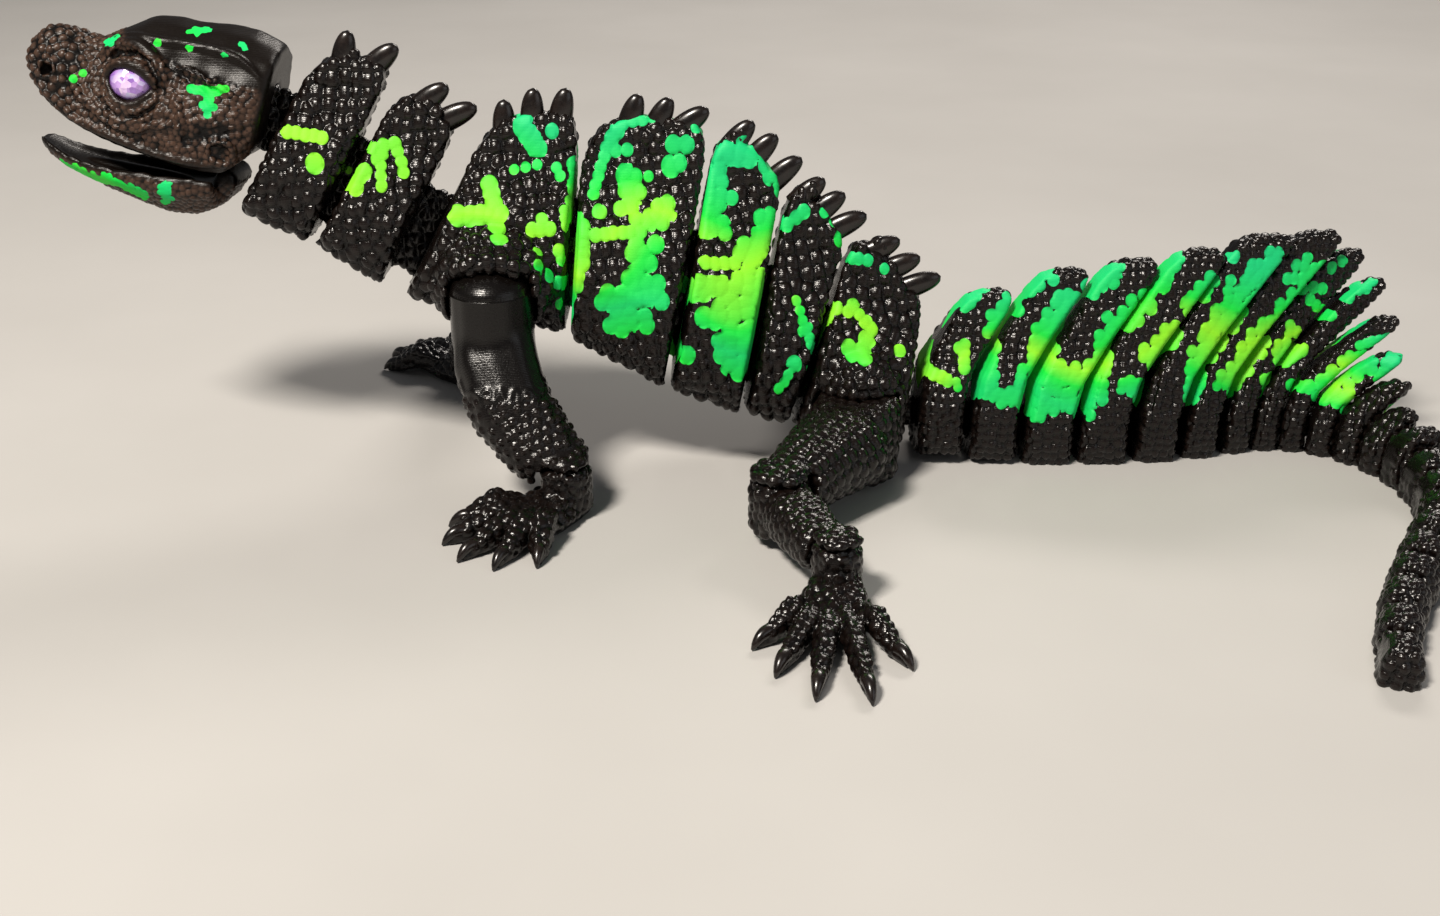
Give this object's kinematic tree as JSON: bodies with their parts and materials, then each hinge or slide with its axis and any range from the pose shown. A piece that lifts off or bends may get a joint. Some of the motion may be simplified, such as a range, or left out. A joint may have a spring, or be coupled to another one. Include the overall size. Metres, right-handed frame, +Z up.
{
  "type": "jointed printed lizard toy",
  "caption": "Jointed plastic toy of a sailfin lizard: loose links that swing side to side, spined back, tall finned tail, hinged jaw and turning limbs.",
  "frame": {"origin": "centre of the bounding box on the floor under the toy", "axes": "+X towards the tail, the head faces -X; -Y the toy's left side; +Z up"},
  "size_m": [0.3146, 0.2292, 0.1017],
  "materials": {
    "printed_plastic": "satin black print with vivid green blotches",
    "gem_eye": "polished pale lilac gem"
  },
  "bodies": {
    "head": {"head": "printed_plastic", "eye_left": "gem_eye", "eye_right": "gem_eye"},
    "jaw": {"jaw": "printed_plastic"},
    "neck_1": {"neck_1": "printed_plastic"},
    "neck_2": {"neck_2": "printed_plastic"},
    "torso_1": {"torso_1": "printed_plastic"},
    "torso_2": {"torso_2": "printed_plastic"},
    "torso_3": {"torso_3": "printed_plastic"},
    "torso_4": {"torso_4": "printed_plastic"},
    "torso_5": {"torso_5": "printed_plastic"},
    "tail_01": {"tail_01": "printed_plastic"},
    "tail_02": {"tail_02": "printed_plastic"},
    "tail_03": {"tail_03": "printed_plastic"},
    "tail_04": {"tail_04": "printed_plastic"},
    "tail_05": {"tail_05": "printed_plastic"},
    "tail_06": {"tail_06": "printed_plastic"},
    "tail_07": {"tail_07": "printed_plastic"},
    "tail_08": {"tail_08": "printed_plastic"},
    "tail_09": {"tail_09": "printed_plastic"},
    "tail_10": {"tail_10": "printed_plastic"},
    "tail_11": {"tail_11": "printed_plastic"},
    "tail_12": {"tail_12": "printed_plastic"},
    "tail_13": {"tail_13": "printed_plastic"},
    "tail_14": {"tail_14": "printed_plastic"},
    "tail_15": {"tail_15": "printed_plastic"},
    "tail_16": {"tail_16": "printed_plastic"},
    "tail_17": {"tail_17": "printed_plastic"},
    "tail_18": {"tail_18": "printed_plastic"},
    "tail_19": {"tail_19": "printed_plastic"},
    "tail_20": {"tail_20": "printed_plastic"},
    "tail_21": {"tail_21": "printed_plastic"},
    "tail_22": {"tail_22": "printed_plastic"},
    "arm_left": {"arm_left": "printed_plastic"},
    "hand_left": {"hand_left": "printed_plastic"},
    "thigh_left": {"thigh_left": "printed_plastic"},
    "shank_left": {"shank_left": "printed_plastic"},
    "foot_left": {"foot_left": "printed_plastic"},
    "arm_right": {"arm_right": "printed_plastic"},
    "hand_right": {"hand_right": "printed_plastic"},
    "thigh_right": {"thigh_right": "printed_plastic"},
    "shank_right": {"shank_right": "printed_plastic"},
    "foot_right": {"foot_right": "printed_plastic"}
  },
  "joints": [
    {"name": "head_turn", "type": "hinge", "parent": "neck_1", "child": "head", "pos_m": [-0.11071, -0.00229, 0.08167], "axis": [0.4067, 0, 0.9135], "range_deg": [-8, 8]},
    {"name": "jaw_drop", "type": "hinge", "parent": "head", "child": "jaw", "pos_m": [-0.11557, -0.00243, 0.06689], "axis": [-0.024, 0.9962, -0.0838], "range_deg": [-8, 9]},
    {"name": "neck_1_turn", "type": "hinge", "parent": "neck_2", "child": "neck_1", "pos_m": [-0.09536, -0.00229, 0.06836], "axis": [0.4979, 0, 0.8672], "range_deg": [-8, 8]},
    {"name": "neck_2_turn", "type": "hinge", "parent": "torso_1", "child": "neck_2", "pos_m": [-0.08071, -0.00229, 0.05767], "axis": [0.4752, 0, 0.8799], "range_deg": [-8, 8]},
    {"name": "torso_1_turn", "type": "hinge", "parent": "torso_2", "child": "torso_1", "pos_m": [-0.04649, -0.00229, 0.04941], "axis": [0.0846, 0, 0.9964], "range_deg": [-4, 4]},
    {"name": "torso_2_turn", "type": "hinge", "parent": "torso_3", "child": "torso_2", "pos_m": [-0.02121, -0.00229, 0.04045], "axis": [0.1886, 0, 0.9821], "range_deg": [-4, 4]},
    {"name": "torso_3_turn", "type": "hinge", "parent": "torso_4", "child": "torso_3", "pos_m": [-0.00274, -0.00229, 0.03253], "axis": [0.1834, 0, 0.983], "range_deg": [-4, 4]},
    {"name": "torso_4_turn", "type": "hinge", "parent": "torso_5", "child": "torso_4", "pos_m": [0.00967, -0.00229, 0.0263], "axis": [0.2961, 0, 0.9552], "range_deg": [-4, 4]},
    {"name": "tail_01_turn", "type": "hinge", "parent": "torso_5", "child": "tail_01", "pos_m": [0.03468, -0.00229, 0.01028], "axis": [0, 0, 1], "range_deg": [-5, 5]},
    {"name": "tail_02_turn", "type": "hinge", "parent": "tail_01", "child": "tail_02", "pos_m": [0.04708, -0.00229, 0.00878], "axis": [0, 0, 1], "range_deg": [-5, 5]},
    {"name": "tail_03_turn", "type": "hinge", "parent": "tail_02", "child": "tail_03", "pos_m": [0.05975, -0.00229, 0.00728], "axis": [0, 0, 1], "range_deg": [-5, 5]},
    {"name": "tail_04_turn", "type": "hinge", "parent": "tail_03", "child": "tail_04", "pos_m": [0.07268, -0.00229, 0.00728], "axis": [0, 0, 1], "range_deg": [-5, 5]},
    {"name": "tail_05_turn", "type": "hinge", "parent": "tail_04", "child": "tail_05", "pos_m": [0.08588, -0.00229, 0.00728], "axis": [0, 0, 1], "range_deg": [-14, 2]},
    {"name": "tail_06_turn", "type": "hinge", "parent": "tail_05", "child": "tail_06", "pos_m": [0.09752, -0.00107, 0.00728], "axis": [0, 0, 1], "range_deg": [-13, 3]},
    {"name": "tail_07_turn", "type": "hinge", "parent": "tail_06", "child": "tail_07", "pos_m": [0.10753, 0.00088, 0.00676], "axis": [0, 0, 1], "range_deg": [-12, 4]},
    {"name": "tail_08_turn", "type": "hinge", "parent": "tail_07", "child": "tail_08", "pos_m": [0.11632, 0.00323, 0.00624], "axis": [0, 0, 1], "range_deg": [-3, 23]},
    {"name": "tail_09_turn", "type": "hinge", "parent": "tail_08", "child": "tail_09", "pos_m": [0.12429, 0.00393, 0.00572], "axis": [0, 0, 1], "range_deg": [-1, 35]},
    {"name": "tail_10_turn", "type": "hinge", "parent": "tail_09", "child": "tail_10", "pos_m": [0.13217, 0.00225, 0.0052], "axis": [0, 0, 1], "range_deg": [-1, 35]},
    {"name": "tail_11_turn", "type": "hinge", "parent": "tail_10", "child": "tail_11", "pos_m": [0.13925, -0.00167, 0.00503], "axis": [0, 0, 1], "range_deg": [-1, 35]},
    {"name": "tail_12_turn", "type": "hinge", "parent": "tail_11", "child": "tail_12", "pos_m": [0.14491, -0.00753, 0.00485], "axis": [0, 0, 1], "range_deg": [-1, 35]},
    {"name": "tail_13_turn", "type": "hinge", "parent": "tail_12", "child": "tail_13", "pos_m": [0.14863, -0.01484, 0.00468], "axis": [0, 0, 1], "range_deg": [-2, 26]},
    {"name": "tail_14_turn", "type": "hinge", "parent": "tail_13", "child": "tail_14", "pos_m": [0.15099, -0.02363, 0.00451], "axis": [0, 0, 1], "range_deg": [-1.56, 26.89]},
    {"name": "tail_15_turn", "type": "hinge", "parent": "tail_14", "child": "tail_15", "pos_m": [0.1514, -0.03362, 0.00433], "axis": [0, 0, 1], "range_deg": [-1.11, 27.78]},
    {"name": "tail_16_turn", "type": "hinge", "parent": "tail_15", "child": "tail_16", "pos_m": [0.14947, -0.04351, 0.00416], "axis": [0, 0, 1], "range_deg": [-0.67, 28.67]},
    {"name": "tail_17_turn", "type": "hinge", "parent": "tail_16", "child": "tail_17", "pos_m": [0.14519, -0.05271, 0.00399], "axis": [0, 0, 1], "range_deg": [-6.89, 22.89]},
    {"name": "tail_18_turn", "type": "hinge", "parent": "tail_17", "child": "tail_18", "pos_m": [0.13962, -0.06129, 0.00381], "axis": [0, 0, 1], "range_deg": [-15.11, 15.11]},
    {"name": "tail_19_turn", "type": "hinge", "parent": "tail_18", "child": "tail_19", "pos_m": [0.13401, -0.06993, 0.00364], "axis": [0, 0, 1], "range_deg": [-16.83, 13.83]},
    {"name": "tail_20_turn", "type": "hinge", "parent": "tail_19", "child": "tail_20", "pos_m": [0.12859, -0.07877, 0.00347], "axis": [0, 0, 1], "range_deg": [-18.56, 12.56]},
    {"name": "tail_21_turn", "type": "hinge", "parent": "tail_20", "child": "tail_21", "pos_m": [0.1236, -0.08796, 0.00329], "axis": [0, 0, 1], "range_deg": [-20.28, 11.28]},
    {"name": "tail_22_turn", "type": "hinge", "parent": "tail_21", "child": "tail_22", "pos_m": [0.11932, -0.09757, 0.00312], "axis": [0, 0, 1], "range_deg": [-22, 10]},
    {"name": "arm_left_turn", "type": "hinge", "parent": "torso_1", "child": "arm_left", "pos_m": [-0.05709, -0.02089, 0.046], "axis": [0, 0, 1], "range_deg": [-14, 14]},
    {"name": "hand_left_turn", "type": "hinge", "parent": "arm_left", "child": "hand_left", "pos_m": [-0.04059, -0.03729, 0.0108], "axis": [0, 0, 1], "range_deg": [-14, 14]},
    {"name": "thigh_left_turn", "type": "hinge", "parent": "torso_5", "child": "thigh_left", "pos_m": [0.02391, -0.01929, 0.015], "axis": [0, 0, 1], "range_deg": [-14, 14]},
    {"name": "shank_left_turn", "type": "hinge", "parent": "thigh_left", "child": "shank_left", "pos_m": [0.00541, -0.05079, 0.0106], "axis": [0, 0, 1], "range_deg": [-14, 14]},
    {"name": "foot_left_turn", "type": "hinge", "parent": "shank_left", "child": "foot_left", "pos_m": [0.0159, -0.07675, 0.0082], "axis": [0, 0, 1], "range_deg": [-14, 14]},
    {"name": "arm_right_turn", "type": "hinge", "parent": "torso_1", "child": "arm_right", "pos_m": [-0.05709, 0.01631, 0.046], "axis": [0, 0, 1], "range_deg": [-14, 14]},
    {"name": "hand_right_turn", "type": "hinge", "parent": "arm_right", "child": "hand_right", "pos_m": [-0.07209, 0.04171, 0.0108], "axis": [0, 0, 1], "range_deg": [-14, 14]},
    {"name": "thigh_right_turn", "type": "hinge", "parent": "torso_5", "child": "thigh_right", "pos_m": [0.02391, 0.01471, 0.015], "axis": [0, 0, 1], "range_deg": [-14, 14]},
    {"name": "shank_right_turn", "type": "hinge", "parent": "thigh_right", "child": "shank_right", "pos_m": [0.03291, 0.04971, 0.0106], "axis": [0, 0, 1], "range_deg": [-14, 14]},
    {"name": "foot_right_turn", "type": "hinge", "parent": "shank_right", "child": "foot_right", "pos_m": [0.02519, 0.07662, 0.0082], "axis": [0, 0, 1], "range_deg": [-14, 14]}
  ]
}
